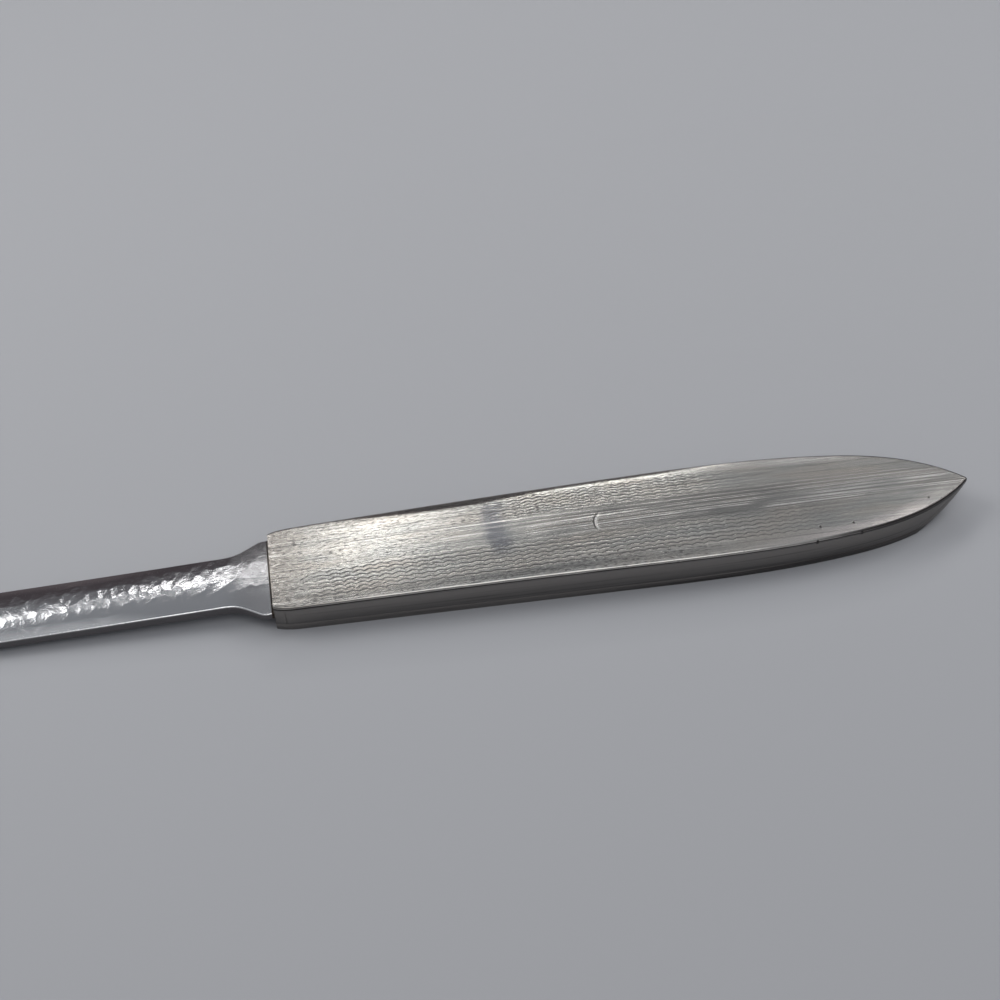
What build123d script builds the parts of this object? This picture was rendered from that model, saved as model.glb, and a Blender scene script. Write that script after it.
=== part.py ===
from build123d import *
from math import atan2, copysign, degrees, radians, sin, sqrt, tan
import os

# Letter opener with a built-up metal handle and a stainless steel blade.
# Millimetres. X runs from the blade's tip to the handle's point, Y across, Z up from the face it lies on.
# The origin is under the middle of the whole length.

# Handle, outside
handle_length = 100.0
handle_thickness = 5.75
back_arch_radius = 1700.0
back_crown_radius = 150.0
end_width = 13.1
side_start_width = 14.25
side_start_to_end = 3.5
side_finish_width = 16.2
side_finish_to_end = 48.0
arch_width = 14.95
arch_to_point = 20.0
ogive_width = 9.5
ogive_to_point = 7.6
end_corner_angle = 22.0
point_half_angle = 43.0
point_rounding = 0.35
bevel_length = 8.3
point_thickness = 0.55
handle_edge_rounding = 0.35

# Handle, pieces
back_plate_thickness = 0.8
front_plate_thickness = 1.2
strip_thickness = 1.2
end_plate_thickness = 1.5

# Blade, outline seen from above, measured from the shoulder
blade_length = 118.0
collar_length = 0.9
flare_mouth_width = 12.3
flare_mouth_to_shoulder = 2.1
flare_waist_width = 9.7
flare_waist_to_shoulder = 4.4
neck_width = 8.8
neck_start_to_shoulder = 8.0
neck_length = 42.0
belly_width = 12.4
belly_to_shoulder = 76.0

# Blade, height of its middle above and below, and the radius of its arched faces
shoulder_height = 3.9
shoulder_lift = 1.8
shoulder_crown_radius = 48.0
neck_height = 3.85
neck_lift = 1.55
neck_crown_radius = 19.0
belly_height = 1.7
belly_crown_radius = 40.0
tip_height = 1.2
tip_lift = 0.1
tip_crown_radius = 60.0
under_crown_radius = 40.0
blade_edge_rounding = 0.3

# Tang and pin inside the handle
tang_width = 7.0
tang_thickness = 1.6
tang_length = 58.0
tang_corner_rounding = 2.0
tang_clearance = 0.1
pin_diameter = 4.2
pin_to_tang_end = 10.4
pin_clearance = 0.02

# Places that follow from these
shoulder_x = (blade_length - handle_length) / 2
point_x = shoulder_x + handle_length
tip_x = shoulder_x - blade_length
handle_middle_x = (shoulder_x + point_x) / 2
back_sag = back_arch_radius - sqrt(back_arch_radius ** 2 - (handle_length / 2) ** 2)
pin_x = shoulder_x + tang_length - pin_to_tang_end
sharp_point_x = point_x + point_rounding * (1 / sin(radians(point_half_angle)) - 1)


def inside(place, direction, distance):
    """The place that lies a distance to the right of a line that runs in a direction."""
    return Vector(*place) + direction.rotate(Axis.Z, -90) * distance


def handle_outline(inset=0.0):
    """Leaf seen from above: drawn in at the end, straight spreading sides, then an arch to the point.
    With an inset it is the outline that lies that far inside the leaf."""
    end_corner = (shoulder_x, end_width / 2)
    side_start = (shoulder_x + side_start_to_end, side_start_width / 2)
    side_finish = (shoulder_x + side_finish_to_end, side_finish_width / 2)
    arch = (point_x - arch_to_point, arch_width / 2)
    ogive = (point_x - ogive_to_point, ogive_width / 2)
    along_side = Line(side_start, side_finish) % 0
    into_point = Vector(1, 0).rotate(Axis.Z, -point_half_angle)
    out_of_end = Vector(1, 0).rotate(Axis.Z, end_corner_angle)
    leaf_taper = Spline(side_finish, arch, ogive, (sharp_point_x, 0), tangents=[along_side, into_point])
    taper_places = [inside(place, leaf_taper.tangent_at(place), inset) for place in (side_finish, arch, ogive)]
    point = (sharp_point_x - inset / sin(radians(point_half_angle)), 0)
    start = inside(side_start, along_side, inset)
    end_places = [(shoulder_x, end_width / 2 - inset), (shoulder_x, inset - end_width / 2)]
    corner = Spline(end_places[0], start, tangents=[out_of_end, along_side])
    side = Line(start, taper_places[0])
    taper = Spline(*taper_places, point, tangents=[along_side, into_point])
    half = Curve() + [corner, side, taper]
    return make_face(half + mirror(half, Plane.XZ) + Line(*end_places))


def across(points, half_width):
    """Solid between two walls at equal distances in Y, cut to a side view given as X and Z points."""
    side_view = make_face(Polyline(*points, close=True))
    return extrude(Plane.XZ * side_view, half_width, both=True)


def arch(height, radius, reach):
    """Arc across the opener with its middle at a height and its ends at a distance to both sides.
    The ends lie lower than the middle, or higher where the radius is negative."""
    drop = radius - copysign(sqrt(radius ** 2 - reach ** 2), radius)
    return ThreePointArc((reach, height - drop), (0, height), (-reach, height - drop))


def section(x, lower, upper):
    """Section across the opener between a lower and an upper line."""
    sides = [Line(lower @ end, upper @ end) for end in (0, 1)]
    return Plane.YZ.offset(x) * make_face(Curve() + [lower, upper, *sides])


# The bevel under the point, in the side view
bevel_x = point_x - bevel_length
bevel_rise = handle_thickness - back_sag - point_thickness
bevel_angle = atan2(bevel_rise, bevel_length)
clear_width = max(side_finish_width, arch_width, end_width)


def arched_space(inset):
    """Space under the handle's back, which is arched along and across, or the space that far under it."""
    upper = arch(handle_thickness - inset, back_crown_radius - inset, clear_width)
    lower = Line((clear_width, -handle_thickness), (-clear_width, -handle_thickness))
    turning_axis = Axis((handle_middle_x, 0, handle_thickness - back_arch_radius), (0, 1, 0))
    turn = degrees(handle_length / back_arch_radius)
    start = section(handle_middle_x, lower, upper).rotate(turning_axis, -turn)
    return revolve(start, turning_axis, 2 * turn)


# The whole handle, from which its pieces are cut
handle_prism = extrude(handle_outline(), 2 * handle_thickness)
point_edge = handle_prism.edges().filter_by(Axis.Z).sort_by(Axis.X)[-1]
handle_prism = fillet(point_edge, point_rounding)
under_bevel = [(bevel_x, 0), (point_x, bevel_rise), (point_x + bevel_length, bevel_rise)]
under_bevel += [(point_x + bevel_length, -bevel_length), (bevel_x, -bevel_length)]
handle_form = (handle_prism & arched_space(0)) - across(under_bevel, clear_width)
top_edges = handle_form.faces().sort_by(Axis.Z)[-1].edges()
long_edges = top_edges.filter_by(lambda edge: edge.center().X > shoulder_x + handle_edge_rounding)
handle_form = fillet(long_edges, handle_edge_rounding)

# Spaces inside the side strips and under the back plate
inner_form = extrude(handle_outline(strip_thickness), handle_thickness)
under_back = arched_space(back_plate_thickness)

# Side views of the layers
plate_setback = front_plate_thickness * tan(bevel_angle / 2)
plate_reach = front_plate_thickness / sin(bevel_angle)
bevel_run = handle_thickness / tan(bevel_angle)
front_view = [(shoulder_x, 0), (bevel_x, 0), (bevel_x + bevel_run, handle_thickness)]
front_view += [(bevel_x + bevel_run - plate_reach, handle_thickness)]
front_view += [(bevel_x - plate_setback, front_plate_thickness), (shoulder_x, front_plate_thickness)]
middle_view = [(shoulder_x, front_plate_thickness), (bevel_x - plate_setback, front_plate_thickness)]
middle_view += [(bevel_x + bevel_run - plate_reach, handle_thickness), (shoulder_x, handle_thickness)]
end_view = [(shoulder_x, front_plate_thickness), (shoulder_x + end_plate_thickness, front_plate_thickness)]
end_view += [(shoulder_x + end_plate_thickness, handle_thickness), (shoulder_x, handle_thickness)]
front_layer = across(front_view, clear_width) & under_back
middle_layer = across(middle_view, clear_width) & under_back
end_layer = across(end_view, clear_width) & under_back

pin_hole = Pos(pin_x, 0) * extrude(Circle(pin_diameter / 2 + pin_clearance), handle_thickness)


def tang(clearance):
    """Flat bar behind the shoulder, level with the underside of the neck, with its far corners rounded."""
    outline = Rectangle(tang_length + clearance, tang_width + 2 * clearance, align=(Align.MIN, Align.CENTER))
    far_corners = outline.vertices().sort_by(Axis.X)[-2:]
    outline = fillet(far_corners, tang_corner_rounding)
    return Pos(shoulder_x, 0, shoulder_lift - clearance) * extrude(outline, tang_thickness + 2 * clearance)


def handle_back_plate():
    """Leaf-shaped sheet on top, slightly arched and rounded along its rim."""
    return handle_form - under_back - pin_hole


def handle_front_plate():
    """Leaf-shaped sheet on the underside, bent up under the point until it meets the back plate."""
    return (handle_form & front_layer) - pin_hole


def handle_strip(side):
    """Strip bent along one side between the two plates. Side is 1 for left and -1 for right."""
    half_space = Pos(0, side * clear_width / 2, 0) * Box(3 * handle_length, clear_width, 3 * handle_thickness)
    ring = (handle_form & middle_layer) - inner_form - end_layer
    return ring & half_space


def handle_end_plate():
    """Plate across the end between the two plates, with a slot for the tang."""
    return (handle_form & end_layer) - tang(tang_clearance)


def handle_cement():
    """Filling round the tang in the rest of the space inside the handle."""
    return (handle_form & middle_layer & inner_form) - end_layer - tang(0) - pin_hole


def tang_pin():
    """Pin through both plates and the tang, ground flush with the outside of both plates."""
    return handle_form & Pos(pin_x, 0) * extrude(Circle(pin_diameter / 2), handle_thickness)


def blade_outline():
    """Blade seen from above: collar, flare, straight neck, a gentle belly and a rounded tip."""
    collar_start = (shoulder_x, end_width / 2)
    collar_finish = (shoulder_x - collar_length, end_width / 2)
    flare_mouth = (shoulder_x - flare_mouth_to_shoulder, flare_mouth_width / 2)
    flare_waist = (shoulder_x - flare_waist_to_shoulder, flare_waist_width / 2)
    neck_start = (shoulder_x - neck_start_to_shoulder, neck_width / 2)
    neck_finish = (shoulder_x - neck_length, neck_width / 2)
    belly = (shoulder_x - belly_to_shoulder, belly_width / 2)
    belly_middle = (shoulder_x - belly_to_shoulder, 0)
    back = Vector(-1, 0)
    collar = Line(collar_start, collar_finish)
    flare = Spline(collar_finish, flare_mouth, flare_waist, neck_start, tangents=[back, back])
    neck = Line(neck_start, neck_finish)
    swell = Spline(neck_finish, belly, tangents=[back, back])
    point_reach = blade_length - belly_to_shoulder
    point = EllipticalCenterArc(belly_middle, point_reach, belly_width / 2, start_angle=90, arc_size=90)
    half = Curve() + [collar, flare, neck, swell, point]
    shoulder = Line((shoulder_x, -end_width / 2), collar_start)
    return make_face(half + mirror(half, Plane.XZ) + shoulder)


def blade_section(x, lift, height, crown_radius):
    """Section across the blade, arched below from a lift and above to a height."""
    reach = max(end_width, belly_width) / 2 + blade_edge_rounding
    return section(x, arch(lift, -under_crown_radius, reach), arch(height, crown_radius, reach))


def blade():
    """Blade, neck, shoulder and tang in one piece, arched above and below, with a flat under the belly."""
    belly_x = shoulder_x - belly_to_shoulder
    neck_start_x = shoulder_x - neck_start_to_shoulder
    sections = [
        blade_section(tip_x, tip_lift, tip_height, tip_crown_radius),
        blade_section(belly_x, 0, belly_height, belly_crown_radius),
        blade_section(neck_start_x, neck_lift, neck_height, neck_crown_radius),
        blade_section(shoulder_x, shoulder_lift, shoulder_height, shoulder_crown_radius),
    ]
    body = extrude(blade_outline(), 2 * shoulder_height) & loft(sections)
    rims = body.edges().filter_by(Axis.Z, reverse=True)
    rims = rims.filter_by(lambda edge: abs(edge.center().Y) > neck_width / 4)
    return fillet(rims, blade_edge_rounding) + tang(0) - pin_hole


os.makedirs("parts", exist_ok=True)
pieces = {
    "blade": blade(),
    "handle_back_plate": handle_back_plate(),
    "handle_front_plate": handle_front_plate(),
    "handle_left_strip": handle_strip(1),
    "handle_right_strip": handle_strip(-1),
    "handle_end_plate": handle_end_plate(),
    "handle_cement": handle_cement(),
    "tang_pin": tang_pin(),
}
for name, piece in pieces.items():
    export_step(piece, f"parts/{name}.step")
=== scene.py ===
from math import cos, pi, radians, sin

import bmesh
import bpy
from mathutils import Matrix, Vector


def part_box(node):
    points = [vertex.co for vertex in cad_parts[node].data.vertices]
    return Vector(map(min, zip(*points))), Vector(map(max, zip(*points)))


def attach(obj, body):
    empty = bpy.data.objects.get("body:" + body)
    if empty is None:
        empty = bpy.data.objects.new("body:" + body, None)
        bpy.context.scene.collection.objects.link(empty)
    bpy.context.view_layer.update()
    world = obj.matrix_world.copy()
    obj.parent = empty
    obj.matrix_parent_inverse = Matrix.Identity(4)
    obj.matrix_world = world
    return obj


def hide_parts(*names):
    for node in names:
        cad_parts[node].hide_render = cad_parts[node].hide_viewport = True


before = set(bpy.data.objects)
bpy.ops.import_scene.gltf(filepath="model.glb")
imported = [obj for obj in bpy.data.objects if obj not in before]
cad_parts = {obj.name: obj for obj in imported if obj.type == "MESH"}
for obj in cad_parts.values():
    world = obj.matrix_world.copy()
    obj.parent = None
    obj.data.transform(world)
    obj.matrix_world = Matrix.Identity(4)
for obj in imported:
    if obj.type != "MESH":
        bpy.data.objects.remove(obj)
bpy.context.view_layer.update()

# Blade
# One piece of stainless steel with its neck and flared shoulder, drawn thinner towards the tip and polished by hand.
# The polish has left dimples and a fine grain. The rims get a painted highlight, the dull sides painted shade, and the
# joint is dark with painted shade and a stain.
steel_colour = (0.53, 0.535, 0.55, 1.0)
# Dull steel with painted shade, for the sides and, in part, the shoulder
dull_and_shaded_steel_colour = (0.15, 0.142, 0.146, 1.0)
# Painted highlight for the rims
steel_rim_highlight_colour = (0.92, 0.92, 0.92, 1.0)
# Painted shade and a stain in the step against the handle
joint_shade_and_stain_colour = (0.06, 0.048, 0.04, 1.0)
steel_roughness = 0.14
dull_steel_roughness = 0.26
dull_shaded_level, polished_lit_level = 0.35, 0.75
rim_highlight_level = 0.78
rim_highlight_level_reach, rim_highlight_level_full = 0.195, 0.175
joint_shade_start, joint_shade_full = 8.62, 8.72
joint_start, joint_full = 1.5, 6.5
joint_dullness = 0.07
joint_darkness = 0.38
joint_dimple_share = 0.7
dimple_length = 1.45
dimple_height = 0.07
dimple_softness = 0.5
dimple_scatter = 0.95
dimples_along = (-46.0, -30.0)
dimples_near, dimples_far = (-3.0, -1.2), (4.2, 3.2)
ruffle_size = (0.7, 0.7, 0.7)
ruffle_detail = 0.0
ruffle_height = 0.022
grain_size = (0.33, 0.22, 0.22)
grain_detail = 2.0
grain_height = 0.017
mm_in_a_metre = 1000.0


def add_node(material, kind, inputs, **settings):
    """Adds a shader node, with its settings and its inputs, each by the socket's name or number."""
    node = material.node_tree.nodes.new("ShaderNode" + kind)
    for name, value in settings.items():
        setattr(node, name, value)
    for key, value in inputs.items():
        if isinstance(value, bpy.types.NodeSocket):
            material.node_tree.links.new(value, node.inputs[key])
        else:
            node.inputs[key].default_value = value
    return node


def work_out(material, operation, *values):
    """Output of a Math node on one, two or three numbers or sockets."""
    return add_node(material, "Math", dict(enumerate(values)), operation=operation).outputs[0]


def product(material, first, *others):
    """Product of numbers or sockets."""
    for other in others:
        first = work_out(material, "MULTIPLY", first, other)
    return first


def fade(material, value, start, finish, first=0.0, last=1.0):
    """Number that goes smoothly from first to last while a value goes from start to finish."""
    limits = {"Value": value, 1: start, 2: finish, 3: first, 4: last}
    return add_node(material, "MapRange", limits, interpolation_type="SMOOTHSTEP").outputs[0]


def tint(material, share, first, second):
    """Colour between two colours, with a share of the second."""
    return add_node(material, "Mix", {0: share, 6: first, 7: second}, data_type="RGBA").outputs[2]


def places(material):
    """Sockets of the place on the object in mm: all three together, then along, across and up."""
    place = add_node(material, "TexCoord", {}).outputs["Object"]
    in_mm = add_node(material, "VectorMath", {0: place, "Scale": mm_in_a_metre}, operation="SCALE").outputs[0]
    return (in_mm, *add_node(material, "SeparateXYZ", {0: in_mm}).outputs)


def clouds(material, place, size, detail, shift=0.0):
    """Cloudy pattern from about -0.5 to 0.5, by the clouds' size in mm along, across and up, detail and shift."""
    fit = {"Vector": place, "Scale": [1 / length for length in size], "Location": (shift, shift, shift)}
    fitted = add_node(material, "Mapping", fit).outputs[0]
    noise = add_node(material, "TexNoise", {"Vector": fitted, "Scale": 1.0, "Detail": detail}).outputs[0]
    return work_out(material, "SUBTRACT", noise, 0.5)


def facing_up(material):
    """How far the surface faces up, from -1 to 1."""
    normal = add_node(material, "NewGeometry", {}).outputs["Normal"]
    return add_node(material, "SeparateXYZ", {0: normal}).outputs["Z"]


def plain_finish(name, colour, roughness, metallic=1.0):
    """Finish with an even colour and gloss, which its section then varies. Gives the material and its shader."""
    material = bpy.data.materials.new(name)
    material.use_nodes = True
    shader = material.node_tree.nodes["Principled BSDF"]
    shader.inputs["Metallic"].default_value = metallic
    shader.inputs["Base Color"].default_value = colour
    shader.inputs["Roughness"].default_value = roughness
    return material, shader


def vary(material, shader, **inputs):
    """Links sockets to a shader's inputs, by name with an underscore for each space."""
    for name, socket in inputs.items():
        material.node_tree.links.new(socket, shader.inputs[name.replace("_", " ")])


def relief(material, height):
    """Surface direction that a height in mm gives."""
    return add_node(material, "Bump", {"Distance": 1 / mm_in_a_metre, "Height": height}).outputs[0]


def dress(piece, material):
    """Gives a piece one material."""
    piece.data.materials.clear()
    piece.data.materials.append(material)


steel, steel_shader = plain_finish("polished_steel", steel_colour, steel_roughness)
steel_place, steel_along, steel_across = places(steel)[:3]
steel_level = facing_up(steel)
polished_lit_share = fade(steel, work_out(steel, "ABSOLUTE", steel_level), dull_shaded_level, polished_lit_level)
joint_share = fade(steel, steel_along, joint_start, joint_full)
from_rim_highlight_level = work_out(steel, "ABSOLUTE", work_out(steel, "SUBTRACT", steel_level, rim_highlight_level))
rim_highlight_share = fade(steel, from_rim_highlight_level, rim_highlight_level_reach, rim_highlight_level_full)
joint_shade_share = fade(steel, steel_along, joint_shade_start, joint_shade_full)
# Painted shade: the faces that turn sideways get the dark, dull colour
steel_tint = tint(steel, polished_lit_share, dull_and_shaded_steel_colour, steel_colour)
steel_tint = tint(steel, product(steel, joint_share, joint_darkness), steel_tint, dull_and_shaded_steel_colour)
# Painted highlight on the rims, where the surface faces partly up
steel_tint = tint(steel, rim_highlight_share, steel_tint, steel_rim_highlight_colour)
# Painted shade with a stain in the step against the handle
steel_tint = tint(steel, joint_shade_share, steel_tint, joint_shade_and_stain_colour)
steel_gloss = fade(steel, polished_lit_share, 0.0, 1.0, dull_steel_roughness, steel_roughness)
steel_gloss = work_out(steel, "MULTIPLY_ADD", joint_share, joint_dullness, steel_gloss)
cell_place = add_node(steel, "VectorMath", {0: steel_place, "Scale": 1 / dimple_length}, operation="SCALE").outputs[0]
cells = {"Vector": cell_place, "Scale": 1.0, "Smoothness": dimple_softness, "Randomness": dimple_scatter}
cell_node = add_node(steel, "TexVoronoi", cells, voronoi_dimensions="2D", feature="SMOOTH_F1")
from_cell = cell_node.outputs["Distance"]
ruffles = clouds(steel, steel_place, ruffle_size, ruffle_detail)
dimples = work_out(
    steel, "MULTIPLY_ADD", ruffles, ruffle_height, product(steel, from_cell, from_cell, dimple_height)
)
dimples = product(
    steel,
    dimples,
    fade(steel, steel_across, *dimples_near),
    fade(steel, steel_across, *dimples_far),
    fade(steel, steel_along, *dimples_along),
    fade(steel, joint_share, 0.0, 1.0, 1.0, joint_dimple_share),
)
grain = clouds(steel, steel_place, grain_size, grain_detail)
steel_relief = work_out(steel, "MULTIPLY_ADD", grain, grain_height, dimples)
vary(steel, steel_shader, Base_Color=steel_tint, Roughness=steel_gloss, Normal=relief(steel, steel_relief))
dress(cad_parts["blade"], steel)

# Front plate, side strips and end plate
# Nickel silver sheet, soldered edge to edge into the body of the handle. The outside is filed along its length, dull
# and darkened with painted shade and tarnish streaks, most low down and near the point, and every edge is a little
# rounded, so that the seams show as fine lines.
# Dull filed metal, made darker with painted shade on the sides
filed_and_shaded_colour = (0.245, 0.231, 0.22, 1.0)
# Painted shade with tarnish, darkest low down towards the point
tarnish_and_shade_colour = (0.10, 0.093, 0.09, 1.0)
filed_roughness = 0.36
file_mark_size = (9.6, 9.6, 0.16)
file_mark_detail = 3.0
file_mark_height = 0.012
file_streak_cloud = ((26.0, 26.0, 0.36), 2.0, 3.0)
file_streak_strength = 2.2
shade_along = (35.0, 95.0)
shade_up = (2.6, 0.4)
edge_rounding = 0.00007
merge_distance = 1e-7
flat_turn = radians(0.5)
sharp_turn = radians(30)


def rounded_copy(node_name, piece_name):
    """Copy of a CAD node with its sharp edges rounded, which takes the node's place."""
    form = bmesh.new()
    form.from_mesh(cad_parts[node_name].data)
    bmesh.ops.remove_doubles(form, verts=form.verts, dist=merge_distance)
    bmesh.ops.dissolve_limit(form, angle_limit=flat_turn, verts=form.verts, edges=form.edges)
    sharp = [edge for edge in form.edges if edge.calc_face_angle(0) > sharp_turn]
    bmesh.ops.bevel(form, geom=sharp, offset=edge_rounding, affect="EDGES", segments=2, profile=0.5, material=-1)
    for face in form.faces:
        face.smooth = True
    mesh = bpy.data.meshes.new(piece_name)
    form.to_mesh(mesh)
    form.free()
    mesh.set_sharp_from_angle(angle=sharp_turn)
    piece = bpy.data.objects.new(piece_name, mesh)
    bpy.context.scene.collection.objects.link(piece)
    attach(piece, "root")
    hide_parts(node_name)
    return piece


filed, filed_shader = plain_finish("filed_nickel_silver", filed_and_shaded_colour, filed_roughness)
filed_place, filed_along, _, filed_up = places(filed)
file_marks = clouds(filed, filed_place, file_mark_size, file_mark_detail)
file_streaks = clouds(filed, filed_place, *file_streak_cloud)
# Painted shade that grows towards the point and towards the bottom, with tarnish streaks on top
tarnish_and_shade = product(filed, fade(filed, filed_along, *shade_along), fade(filed, filed_up, *shade_up))
tarnish_and_shade = work_out(filed, "MULTIPLY_ADD", file_streaks, file_streak_strength, tarnish_and_shade)
vary(
    filed,
    filed_shader,
    Base_Color=tint(filed, fade(filed, tarnish_and_shade, 0.0, 1.0), filed_and_shaded_colour, tarnish_and_shade_colour),
    Normal=relief(filed, product(filed, file_marks, file_mark_height)),
)
for filed_node in ("handle_front_plate", "handle_left_strip", "handle_right_strip", "handle_end_plate"):
    filed_piece = rounded_copy(filed_node, filed_node + "_filed")
    dress(filed_piece, filed)

# Cement
# Dark, matt filling that beds the tang. It is poured in round the tang and closed in by the plates and strips,
# so that it shows only when the handle is taken apart.
cement_colour = (0.16, 0.13, 0.11, 1.0)
cement_roughness = 0.85
cement_grain_size = (0.6, 0.6, 0.6)
cement_grain_detail = 3.0
cement_grain_height = 0.05
cement, cement_shader = plain_finish("cement", cement_colour, cement_roughness, metallic=0.0)
cement_grain = clouds(cement, places(cement)[0], cement_grain_size, cement_grain_detail)
vary(cement, cement_shader, Normal=relief(cement, product(cement, cement_grain, cement_grain_height)))
dress(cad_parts["handle_cement"], cement)

# Back plate
# Nickel silver sheet, sanded along its length by hand. A shaking stroke has left rows of small waves on both sides of
# the middle, where the scratches are straight. The rim carries a painted highlight above and its edge painted shade
# below, and more painted highlights, reflection and shade lie along the rims, at the end and round the pin.
sanded_colour = (0.50, 0.487, 0.46, 1.0)
cool_colour = (0.46, 0.475, 0.465, 1.0)
warm_colour = (0.55, 0.51, 0.46, 1.0)
# Painted shade for the end towards the blade
end_shade_colour = (0.40, 0.378, 0.35, 1.0)
dark_patch_colour = (0.21, 0.22, 0.25, 1.0)
scratch_colour = (0.66, 0.645, 0.61, 1.0)
groove_colour = (0.15, 0.146, 0.14, 1.0)
# Bright colour for the scratches, and for painted highlights along the far rim and on the crescent
bright_scratch_and_highlight_colour = (0.86, 0.845, 0.81, 1.0)
# Painted reflection along the near rim by the point
near_reflection_colour = (0.74, 0.69, 0.66, 1.0)
# Painted highlight for the rim
sanded_rim_highlight_colour = (0.66, 0.64, 0.60, 1.0)
# Near black, for the painted shade under the rim, the seam round the pin and the pits
dark_edge_colour = (0.05, 0.046, 0.043, 1.0)
sanded_roughness = 0.24
patch_roughness = 0.10
rim_roughness = 0.16
sanded_spread = 0.6

sanded, sanded_shader = plain_finish("sanded_nickel_silver", sanded_colour, sanded_roughness)
sanded_place, along, across, up = places(sanded)
level = facing_up(sanded)


def band(value, start, full, fading, finish):
    """Share that rises from start to full and falls from fading to finish."""
    return product(sanded, fade(sanded, value, start, full), fade(sanded, value, fading, finish, 1.0, 0.0))


# The leaf's half width at shares of its length, from which the distance to each rim is worked out
leaf_start, leaf_length = 9.0, 100.0
leaf_half_width = ((0.0, 6.55), (0.035, 7.13), (0.25, 7.6), (0.48, 8.1), (0.62, 8.3), (0.7, 8.15), (0.8, 7.47))
leaf_half_width += ((0.87, 6.3), (0.924, 4.75), (0.965, 2.7), (1.0, 0.0))
curve_height = 10.0
leaf_share = add_node(sanded, "MapRange", {"Value": along, 1: leaf_start, 2: leaf_start + leaf_length}).outputs[0]
leaf = add_node(sanded, "FloatCurve", {"Value": leaf_share})
leaf_points = leaf.mapping.curves[0].points
leaf_points[0].location = (0.0, leaf_half_width[0][1] / curve_height)
leaf_points[1].location = (1.0, leaf_half_width[-1][1] / curve_height)
for leaf_place, half_width in leaf_half_width[1:-1]:
    leaf_points.new(leaf_place, half_width / curve_height)
leaf.mapping.update()
half_width_here = product(sanded, leaf.outputs[0], curve_height)
to_far_rim = work_out(sanded, "SUBTRACT", half_width_here, across)
to_near_rim = work_out(sanded, "ADD", half_width_here, across)

# Rows of waves on both sides of the middle, with their pitch, wave, swing and half a line's width in mm
drift_cloud = ((9.0, 5.0, 9.0), 1.0, 0.7)
wobble_cloud = ((5.0, 1.6, 9.0), 1.0, 4.1)
patch_cloud = ((5.0, 2.4, 9.0), 2.0, 8.3)
tone_cloud = ((11.0, 3.0, 9.0), 2.0, 5.5)
lower_waves = (0.66, 1.8, 0.25, 0.17)
upper_waves = (0.54, 1.7, 0.22, 0.15)
lower_along, lower_across = (11.5, 18.0, 70.0, 98.0), (-6.3, -5.9, -2.2, -0.6)
upper_along, upper_across = (34.0, 46.0, 66.0, 80.0), (2.5, 3.5, 6.3, 7.4)
middle_along, middle_across = (28.0, 40.0), (-2.0, -0.8, 2.6, 3.6)
stroke_drift = 2.2
stroke_slant = 0.15
line_wobble = 0.15
line_core = 0.1
patchiness = (-0.25, 0.15, 0.75, 1.0)
drift = clouds(sanded, sanded_place, *drift_cloud)
wobble = clouds(sanded, sanded_place, *wobble_cloud)
patches = clouds(sanded, sanded_place, *patch_cloud)
tone = clouds(sanded, sanded_place, *tone_cloud)


def wavy_lines(pitch, wave, swing, line):
    """Share of the groove in rows of scalloped waves a pitch apart, with a wave, a swing and a line's half width."""
    stroke = work_out(sanded, "MULTIPLY_ADD", drift, stroke_drift, along)
    stroke = work_out(sanded, "MULTIPLY_ADD", across, stroke_slant, stroke)
    hump = work_out(sanded, "ABSOLUTE", work_out(sanded, "SINE", product(sanded, stroke, pi / wave)))
    line_at = work_out(sanded, "MULTIPLY_ADD", hump, -swing, across)
    line_at = work_out(sanded, "MULTIPLY_ADD", wobble, line_wobble, line_at)
    from_line = work_out(sanded, "PINGPONG", line_at, pitch / 2)
    return fade(sanded, from_line, line, line_core * line)


lower_share = product(sanded, band(across, *lower_across), band(along, *lower_along))
upper_share = product(sanded, band(across, *upper_across), band(along, *upper_along))
middle = product(sanded, band(across, *middle_across), fade(sanded, along, *middle_along))
lines = product(sanded, wavy_lines(*lower_waves), lower_share)
lines = work_out(sanded, "MULTIPLY_ADD", wavy_lines(*upper_waves), upper_share, lines)
lines = product(sanded, lines, fade(sanded, patches, *patchiness))

# Straight streaks, short speckle and a few long bright scratches down the middle
streak_cloud = ((18.0, 0.28, 9.0), 2.0, 1.9)
speckle_cloud = ((0.704, 0.22, 9.0), 1.0, 2.6)
speckle_along = (86.0, 52.0, 0.3, 1.0)
speckle_between_waves = 0.5
speckle_in_middle = 0.5
scratch_cloud = ((120.0, 0.62, 9.0), 0.0, 6.2)
scratch_at = 0.10
scratch_width = (0.045, 0.012)
scratch_tone = (-0.16, 0.04)
streaks = clouds(sanded, sanded_place, *streak_cloud)
speckle = product(
    sanded,
    clouds(sanded, sanded_place, *speckle_cloud),
    fade(sanded, along, *speckle_along),
    fade(sanded, lower_share, 0.0, 1.0, 1.0, speckle_between_waves),
    fade(sanded, middle, 0.0, 1.0, 1.0, speckle_in_middle),
)
from_scratch = work_out(sanded, "ABSOLUTE", clouds(sanded, sanded_place, *scratch_cloud))
from_scratch = work_out(sanded, "ABSOLUTE", work_out(sanded, "SUBTRACT", from_scratch, scratch_at))
scratches = product(sanded, fade(sanded, from_scratch, *scratch_width), fade(sanded, tone, *scratch_tone), middle)

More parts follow.
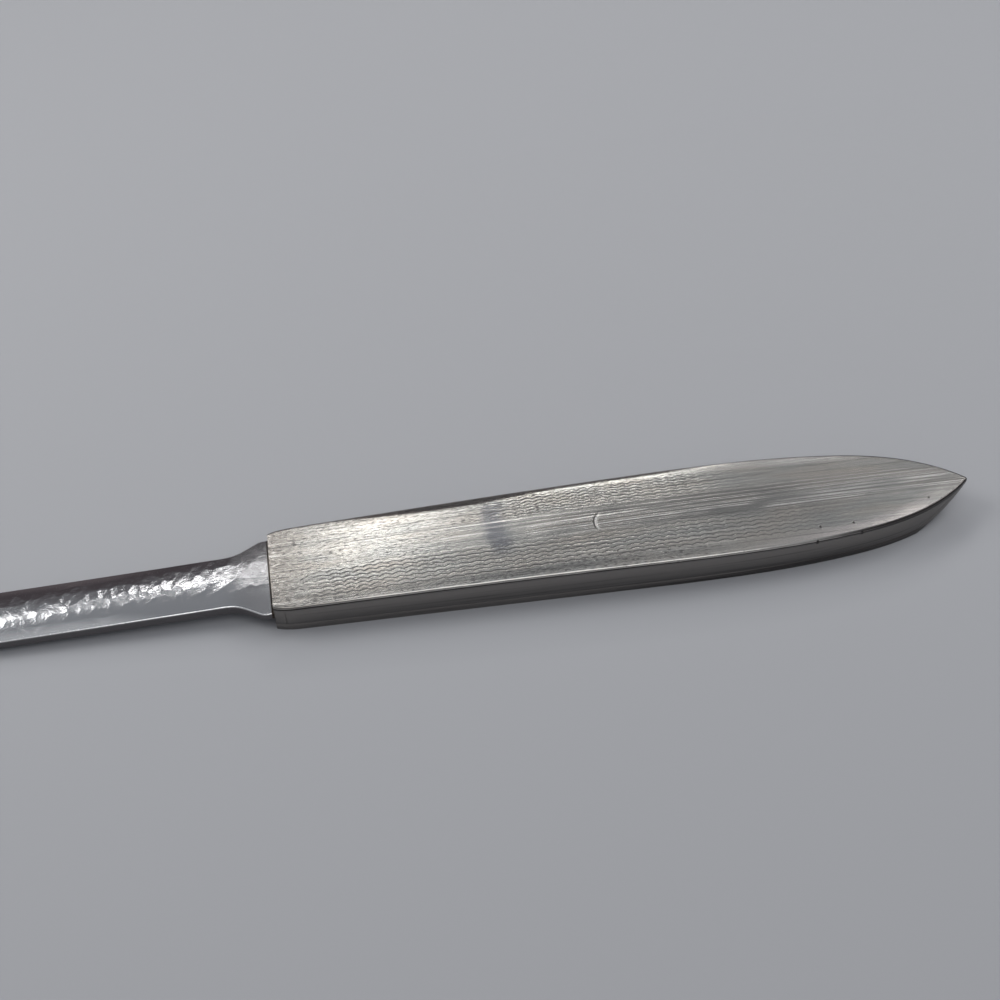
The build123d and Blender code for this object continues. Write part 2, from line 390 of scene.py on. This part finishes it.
# Relief in mm: the sanding, the rims rolled down at the far and the near side, and the pits
line_depth = 0.017
streak_height = 0.016
speckle_height = 0.007
soft_roll, soft_roll_width = 0.055, 1.7
soft_roll_along = (8.0, 26.0)
far_roll, far_roll_width = 0.28, 1.6
far_roll_start, far_roll_start_share = (12.0, 38.0), 0.3
far_roll_narrowing = (36.0, 52.0, 1.0, 0.55)
far_rolls_end = (60.0, 80.0, 1.0, 0.0)
near_roll, near_roll_width = 0.012, 2.2
near_along = (74.0, 90.0, 98.0, 106.0)
pits = ((84.6, -7.9), (90.4, -5.6), (91.2, -7.22), (102.3, -2.75), (85.6, -5.6))
pit_radius = 0.24
pit_core = 0.4
pit_depth = 0.08


def rolled_rim(to_rim, width, roll):
    """Fall of a rolled rim, which grows with the square of the distance inside its width."""
    inside = work_out(sanded, "MAXIMUM", work_out(sanded, "SUBTRACT", width, to_rim), 0.0)
    return product(sanded, inside, inside, roll)


height = product(sanded, lines, -line_depth)
height = work_out(sanded, "MULTIPLY_ADD", streaks, streak_height, height)
height = work_out(sanded, "MULTIPLY_ADD", speckle, speckle_height, height)
far_width_here = fade(sanded, along, *far_roll_start, far_roll_start_share * far_roll_width, far_roll_width)
far_width_here = product(sanded, far_width_here, fade(sanded, along, *far_roll_narrowing))
soft_roll_here = product(sanded, fade(sanded, along, *soft_roll_along), soft_roll)
for roll_width, roll in ((soft_roll_width, soft_roll_here), (far_width_here, far_roll)):
    rolled = product(sanded, rolled_rim(to_far_rim, roll_width, roll), fade(sanded, along, *far_rolls_end))
    height = work_out(sanded, "SUBTRACT", height, rolled)
near_share = band(along, *near_along)
rolled = rolled_rim(to_near_rim, near_roll_width, near_share)
height = work_out(sanded, "MULTIPLY_ADD", rolled, -near_roll, height)
flat_place = add_node(sanded, "CombineXYZ", {"X": along, "Y": across}).outputs[0]
pitted = 0.0
for pit_along, pit_across in pits:
    pit_place = {0: flat_place, 1: (pit_along, pit_across, 0.0)}
    from_pit = add_node(sanded, "VectorMath", pit_place, operation="DISTANCE").outputs["Value"]
    pitted = work_out(sanded, "ADD", pitted, fade(sanded, from_pit, pit_radius, pit_core * pit_radius))
height = work_out(sanded, "MULTIPLY_ADD", pitted, -pit_depth, height)

# Dark seam and bright crescent round the pin's end, on the side towards the blade: a painted highlight on the crescent
# and painted shade in the seam
pin_place = (56.6, 0.0, 0.0)
pin_seam = 2.1
seam_ring, seam_reach = (2.02, 2.08, 2.12, 2.34), (0.7, 0.92)
crescent_ring, crescent_reach = (1.55, 1.72, 1.98, 2.08), (0.5, 0.75)
crescent_slant = -0.25
from_pin = add_node(sanded, "VectorMath", {0: flat_place, 1: pin_place}, operation="DISTANCE").outputs["Value"]
blade_side = work_out(sanded, "MULTIPLY_ADD", across, crescent_slant, along)


def part_ring(ring, reach):
    """Share of a ring round the pin that lies towards the blade, past a reach in shares of the seam's radius."""
    limits = [pin_place[0] - share * pin_seam for share in reach]
    return product(sanded, band(from_pin, *ring), fade(sanded, blade_side, *limits))


# Colour of the sanded face, from the plain metal with painted shade towards the blade end, to a dark bluish patch, the
# light scratches, a painted reflection along the near rim by the point, a painted highlight along the far rim and the
# dark grooves
tone_limits = (-0.2, 0.2)
plain_share = 0.5
end_shade_along = (15.0, 9.5)
dark_patch_along, dark_patch_across = (38.5, 40.3, 41.2, 43.6), (-4.4, -1.4, 5.2, 7.4)
dark_patch_raggedness = 2.4
dark_patch_slant = 0.05
dark_patch_strength = 0.8
streak_light, streak_light_along = (0.05, 0.17), (60.0, 80.0, 0.7, 0.4)
speckle_light, speckle_light_share = (0.02, 0.22), 0.7
near_light = (2.6, 0.6, 0.0, 0.8)
far_light, far_light_along = (1.9, 0.6, 0.0, 0.6), (68.0, 79.0, 87.0, 98.0)
streak_dark, streak_dark_share = (-0.04, -0.26), 0.45
speckle_dark, speckle_dark_share = (-0.02, -0.24), 0.8
middle_dark_along, middle_dark_share = (44.0, 58.0, 74.0, 96.0), 0.42
near_dark, near_dark_along, near_dark_share = (0.5, 0.9, 1.4, 2.0), (11.0, 16.0, 66.0, 80.0), 0.38
most_dark = 0.9
colour = tint(sanded, fade(sanded, tone, *tone_limits), cool_colour, warm_colour)
colour = tint(sanded, plain_share, colour, sanded_colour)
# Painted shade: darker towards the end by the blade
colour = tint(sanded, fade(sanded, along, *end_shade_along), colour, end_shade_colour)
dark_patch_at = work_out(sanded, "MULTIPLY_ADD", patches, dark_patch_raggedness, along)
dark_patch_at = work_out(sanded, "MULTIPLY_ADD", across, dark_patch_slant, dark_patch_at)
dark_patch_share = product(sanded, band(dark_patch_at, *dark_patch_along), band(across, *dark_patch_across), dark_patch_strength)
colour = tint(sanded, dark_patch_share, colour, dark_patch_colour)
light_streaks = product(sanded, fade(sanded, streaks, *streak_light), fade(sanded, along, *streak_light_along))
light_speckle = product(sanded, fade(sanded, speckle, *speckle_light), speckle_light_share)
colour = tint(sanded, work_out(sanded, "MAXIMUM", light_streaks, light_speckle), colour, scratch_colour)
# Painted reflection: a warm bright band inside the near rim, towards the point
near_tint = product(sanded, fade(sanded, to_near_rim, *near_light), near_share)
colour = tint(sanded, near_tint, colour, near_reflection_colour)
# Painted highlight: a bright band just inside the far rim, towards the point
far_tint = product(sanded, fade(sanded, to_far_rim, *far_light), band(along, *far_light_along))
colour = tint(sanded, far_tint, colour, bright_scratch_and_highlight_colour)
grooves = work_out(sanded, "MULTIPLY_ADD", fade(sanded, streaks, *streak_dark), streak_dark_share, lines)
grooves = work_out(sanded, "MULTIPLY_ADD", fade(sanded, speckle, *speckle_dark), speckle_dark_share, grooves)
dark_middle = product(sanded, middle, band(along, *middle_dark_along))
grooves = work_out(sanded, "MULTIPLY_ADD", dark_middle, middle_dark_share, grooves)
dark_near = product(sanded, band(to_near_rim, *near_dark), band(along, *near_dark_along))
grooves = work_out(sanded, "MULTIPLY_ADD", dark_near, near_dark_share, grooves)
colour = tint(sanded, work_out(sanded, "MINIMUM", grooves, most_dark), colour, groove_colour)
colour = tint(sanded, scratches, colour, bright_scratch_and_highlight_colour)
# Painted highlight on the crescent round the pin, then painted shade in its seam
colour = tint(sanded, part_ring(crescent_ring, crescent_reach), colour, bright_scratch_and_highlight_colour)
colour = tint(sanded, part_ring(seam_ring, seam_reach), colour, dark_edge_colour)

# Colour of the rim, which is told by how far the surface faces up, and of the edge below it. The rim gets a painted
# highlight that turns to painted shade towards both ends, and the edge below it painted shade.
rim_levels = (0.25, 0.5, 0.93, 0.985)
rim_shade_along = (80.0, 97.0)
rim_end_shade_along = (28.0, 12.0)
point_edge_levels, point_edge_along = (0.997, 0.985), (84.0, 97.0)
edge_levels = (0.35, 0.15)
rim_height, rim_arch = 5.55, 0.000294
dark_edge_depth = (0.62, 0.42)
rim_share = band(level, *rim_levels)
# Painted highlight on the rim, turning to painted shade towards the point and towards the blade end
rim_tint = tint(sanded, fade(sanded, along, *rim_shade_along), sanded_rim_highlight_colour, tarnish_and_shade_colour)
rim_tint = tint(sanded, fade(sanded, along, *rim_end_shade_along), rim_tint, end_shade_colour)
# Painted shade on the rounded edge near the point
point_edge = product(sanded, fade(sanded, level, *point_edge_levels), fade(sanded, along, *point_edge_along))
edge_share = fade(sanded, level, *edge_levels)
from_middle = work_out(sanded, "SUBTRACT", along, leaf_start + leaf_length / 2)
rim_fall = product(sanded, from_middle, from_middle, rim_arch)
below_rim = work_out(sanded, "SUBTRACT", work_out(sanded, "SUBTRACT", rim_height, rim_fall), up)
colour = tint(sanded, rim_share, colour, rim_tint)
colour = tint(sanded, point_edge, colour, tarnish_and_shade_colour)
# The edge below the rim gets the filed colour with its painted shade
colour = tint(sanded, edge_share, colour, filed_and_shaded_colour)
# Painted shade: a dark band on the edge just under the rim
dark_edge_share = product(sanded, edge_share, fade(sanded, below_rim, *dark_edge_depth))
colour = tint(sanded, dark_edge_share, colour, dark_edge_colour)
colour = tint(sanded, pitted, colour, dark_edge_colour)
gloss = work_out(sanded, "MULTIPLY_ADD", patches, patch_roughness, sanded_roughness)
gloss = work_out(sanded, "MULTIPLY_ADD", rim_share, rim_roughness - sanded_roughness, gloss)
over_the_back = add_node(sanded, "Tangent", {}, direction_type="RADIAL", axis="X").outputs[0]
vary(sanded, sanded_shader, Base_Color=colour, Roughness=gloss, Normal=relief(sanded, height), Tangent=over_the_back)
sanded_shader.inputs["Anisotropic"].default_value = sanded_spread
dress(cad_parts["handle_back_plate"], sanded)

# Pin
# Nickel silver pin through the plates and the tang, cut off and sanded with the back plate. On the side towards the
# blade its edge is worn down, and there a bright crescent of painted highlight and a dark seam with painted shade show.
pin_wear = 0.0001
pin_wear_width = 0.0004
pin_flat_turn = radians(3)
pin_sharp_turn = radians(5)
pin_top_level = 0.9
pin_low, pin_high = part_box("tang_pin")
pin_middle = (pin_low[0] + pin_high[0]) / 2
pin_radius = (pin_high[0] - pin_low[0]) / 2
pin_form = bmesh.new()
pin_form.from_mesh(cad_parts["tang_pin"].data)
bmesh.ops.remove_doubles(pin_form, verts=pin_form.verts, dist=merge_distance)
bmesh.ops.dissolve_limit(pin_form, angle_limit=pin_flat_turn, verts=pin_form.verts, edges=pin_form.edges)
pin_top = [face for face in pin_form.faces if face.normal.z > pin_top_level]
pin_edge = {corner for face in pin_top for corner in face.verts}
bmesh.ops.inset_region(pin_form, faces=pin_top, thickness=pin_wear_width, use_even_offset=True)
for corner in pin_edge:
    if corner.is_valid and corner.co.x < pin_middle:
        blade_share = (pin_middle - corner.co.x) / pin_radius
        edge_distance = ((corner.co.x - pin_middle) ** 2 + corner.co.y ** 2) ** 0.5
        if edge_distance > pin_radius - pin_wear_width / 2:
            corner.co.z -= pin_wear * blade_share ** 2
for pin_face in pin_form.faces:
    pin_face.smooth = True
pin_mesh = bpy.data.meshes.new("tang_pin_sanded")
pin_form.to_mesh(pin_mesh)
pin_form.free()
pin_mesh.set_sharp_from_angle(angle=pin_sharp_turn)
pin = bpy.data.objects.new("tang_pin_sanded", pin_mesh)
bpy.context.scene.collection.objects.link(pin)
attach(pin, "root")
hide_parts("tang_pin")
dress(pin, sanded)

# Sheet under the opener
# Plain pale paper that the opener lies on, large enough to fill the view.
sheet_colour = (0.51, 0.52, 0.545, 1.0)
sheet_roughness = 0.9
sheet_half = 1.5
sheet_form = bmesh.new()
bmesh.ops.create_grid(sheet_form, x_segments=1, y_segments=1, size=sheet_half)
sheet_mesh = bpy.data.meshes.new("paper_sheet")
sheet_form.to_mesh(sheet_mesh)
sheet_form.free()
sheet = bpy.data.objects.new("paper_sheet", sheet_mesh)
bpy.context.scene.collection.objects.link(sheet)
dress(sheet, plain_finish("pale_paper", sheet_colour, sheet_roughness, metallic=0.0)[0])

# Studio light
# Softboxes behind the opener, on both sides and above, strip lights behind the handle, and a dim dome that is darkest
# low behind the opener.
studio_aim = Vector((0.03, 0.0, 0.0))
warm_light = (1.0, 0.985, 0.965)
soft_light = (1.0, 0.99, 0.97)
rosy_light = (1.0, 0.98, 0.97)
side_light = (1.0, 0.99, 0.975)
plain_light = (1.0, 1.0, 1.0)
dome_front_colour = (0.20, 0.20, 0.21, 1.0)
dome_back_colour = (0.085, 0.072, 0.078, 1.0)
dome_top_colour = (0.31, 0.32, 0.34, 1.0)
dome_back_limits = (0.15, 0.55)
dome_top_start, dome_top_full = 0.50, 0.83


def softbox(name, azimuth, elevation, distance, width, height, radiance, colour):
    """Rectangular lamp that faces the opener. Azimuth is from +Y towards +X."""
    lamp = bpy.data.lights.new(name, "AREA")
    lamp.shape = "RECTANGLE"
    lamp.size = width
    lamp.size_y = height
    lamp.energy = radiance * pi * width * height
    lamp.color = colour
    holder = bpy.data.objects.new(name, lamp)
    turn, lift = radians(azimuth), radians(elevation)
    outward = Vector((sin(turn) * cos(lift), cos(turn) * cos(lift), sin(lift)))
    holder.location = studio_aim + outward * distance
    holder.rotation_mode = "QUATERNION"
    holder.rotation_quaternion = (-outward).to_track_quat("-Z", "Y")
    bpy.context.scene.collection.objects.link(holder)


# Each with its azimuth and elevation in degrees, its distance, width and height in metres, and its radiance
softbox("key_softbox", -18.0, 49.0, 0.407, 0.042, 0.04, 5.2, warm_light)
softbox("key_wing", -34.0, 56.0, 0.415, 0.06, 0.03, 0.9, warm_light)
softbox("shoulder_strip", -11.5, 42.0, 0.40, 0.03, 0.03, 1.0, warm_light)
softbox("outer_strip", -6.0, 49.0, 0.38, 0.028, 0.04, 5.2, warm_light)
softbox("middle_strip", -1.0, 44.0, 0.38, 0.03, 0.036, 7.0, warm_light)
softbox("bridge_strip", 5.5, 42.0, 0.37, 0.05, 0.03, 3.5, warm_light)
softbox("low_strip", 14.5, 33.5, 0.37, 0.08, 0.03, 8.2, soft_light)
softbox("low_fill", 29.0, 34.0, 0.40, 0.12, 0.03, 1.7, plain_light)
softbox("point_fill", 45.0, 62.0, 0.42, 0.14, 0.07, 0.3, rosy_light)
softbox("left_softbox", -64.0, 45.0, 0.356, 0.18, 0.16, 3.6, side_light)
softbox("right_softbox", 72.0, 42.0, 0.39, 0.16, 0.14, 3.4, plain_light)
softbox("top_softbox", 180.0, 72.0, 0.5, 0.36, 0.26, 0.9, plain_light)

dome = bpy.data.worlds.new("studio_dome")
bpy.context.scene.world = dome
dome.use_nodes = True
dome_direction = add_node(dome, "TexCoord", {}).outputs["Generated"]
dome_parts = add_node(dome, "SeparateXYZ", {0: dome_direction}).outputs
dome_low = tint(dome, fade(dome, dome_parts["Y"], *dome_back_limits), dome_front_colour, dome_back_colour)
dome_lift = {"Value": dome_parts["Z"], 1: dome_top_start, 2: dome_top_full}
dome_colour = tint(dome, add_node(dome, "MapRange", dome_lift).outputs[0], dome_low, dome_top_colour)
dome.node_tree.links.new(dome_colour, dome.node_tree.nodes["Background"].inputs["Color"])

# Camera
# Where the photograph was taken from, close above the near side of the opener.
camera_place = (0.021705, -0.138275, 0.179479)
camera_turn = (radians(40.06), radians(0.785), radians(-8.98))
camera_data = bpy.data.cameras.new("camera")
camera_data.sensor_width = 36.0
camera_data.lens = 57.6
camera_data.clip_start = 0.01
camera = bpy.data.objects.new("camera", camera_data)
camera.location = camera_place
camera.rotation_euler = camera_turn
bpy.context.scene.collection.objects.link(camera)
bpy.context.scene.camera = camera
bpy.context.scene.view_settings.view_transform = "Standard"
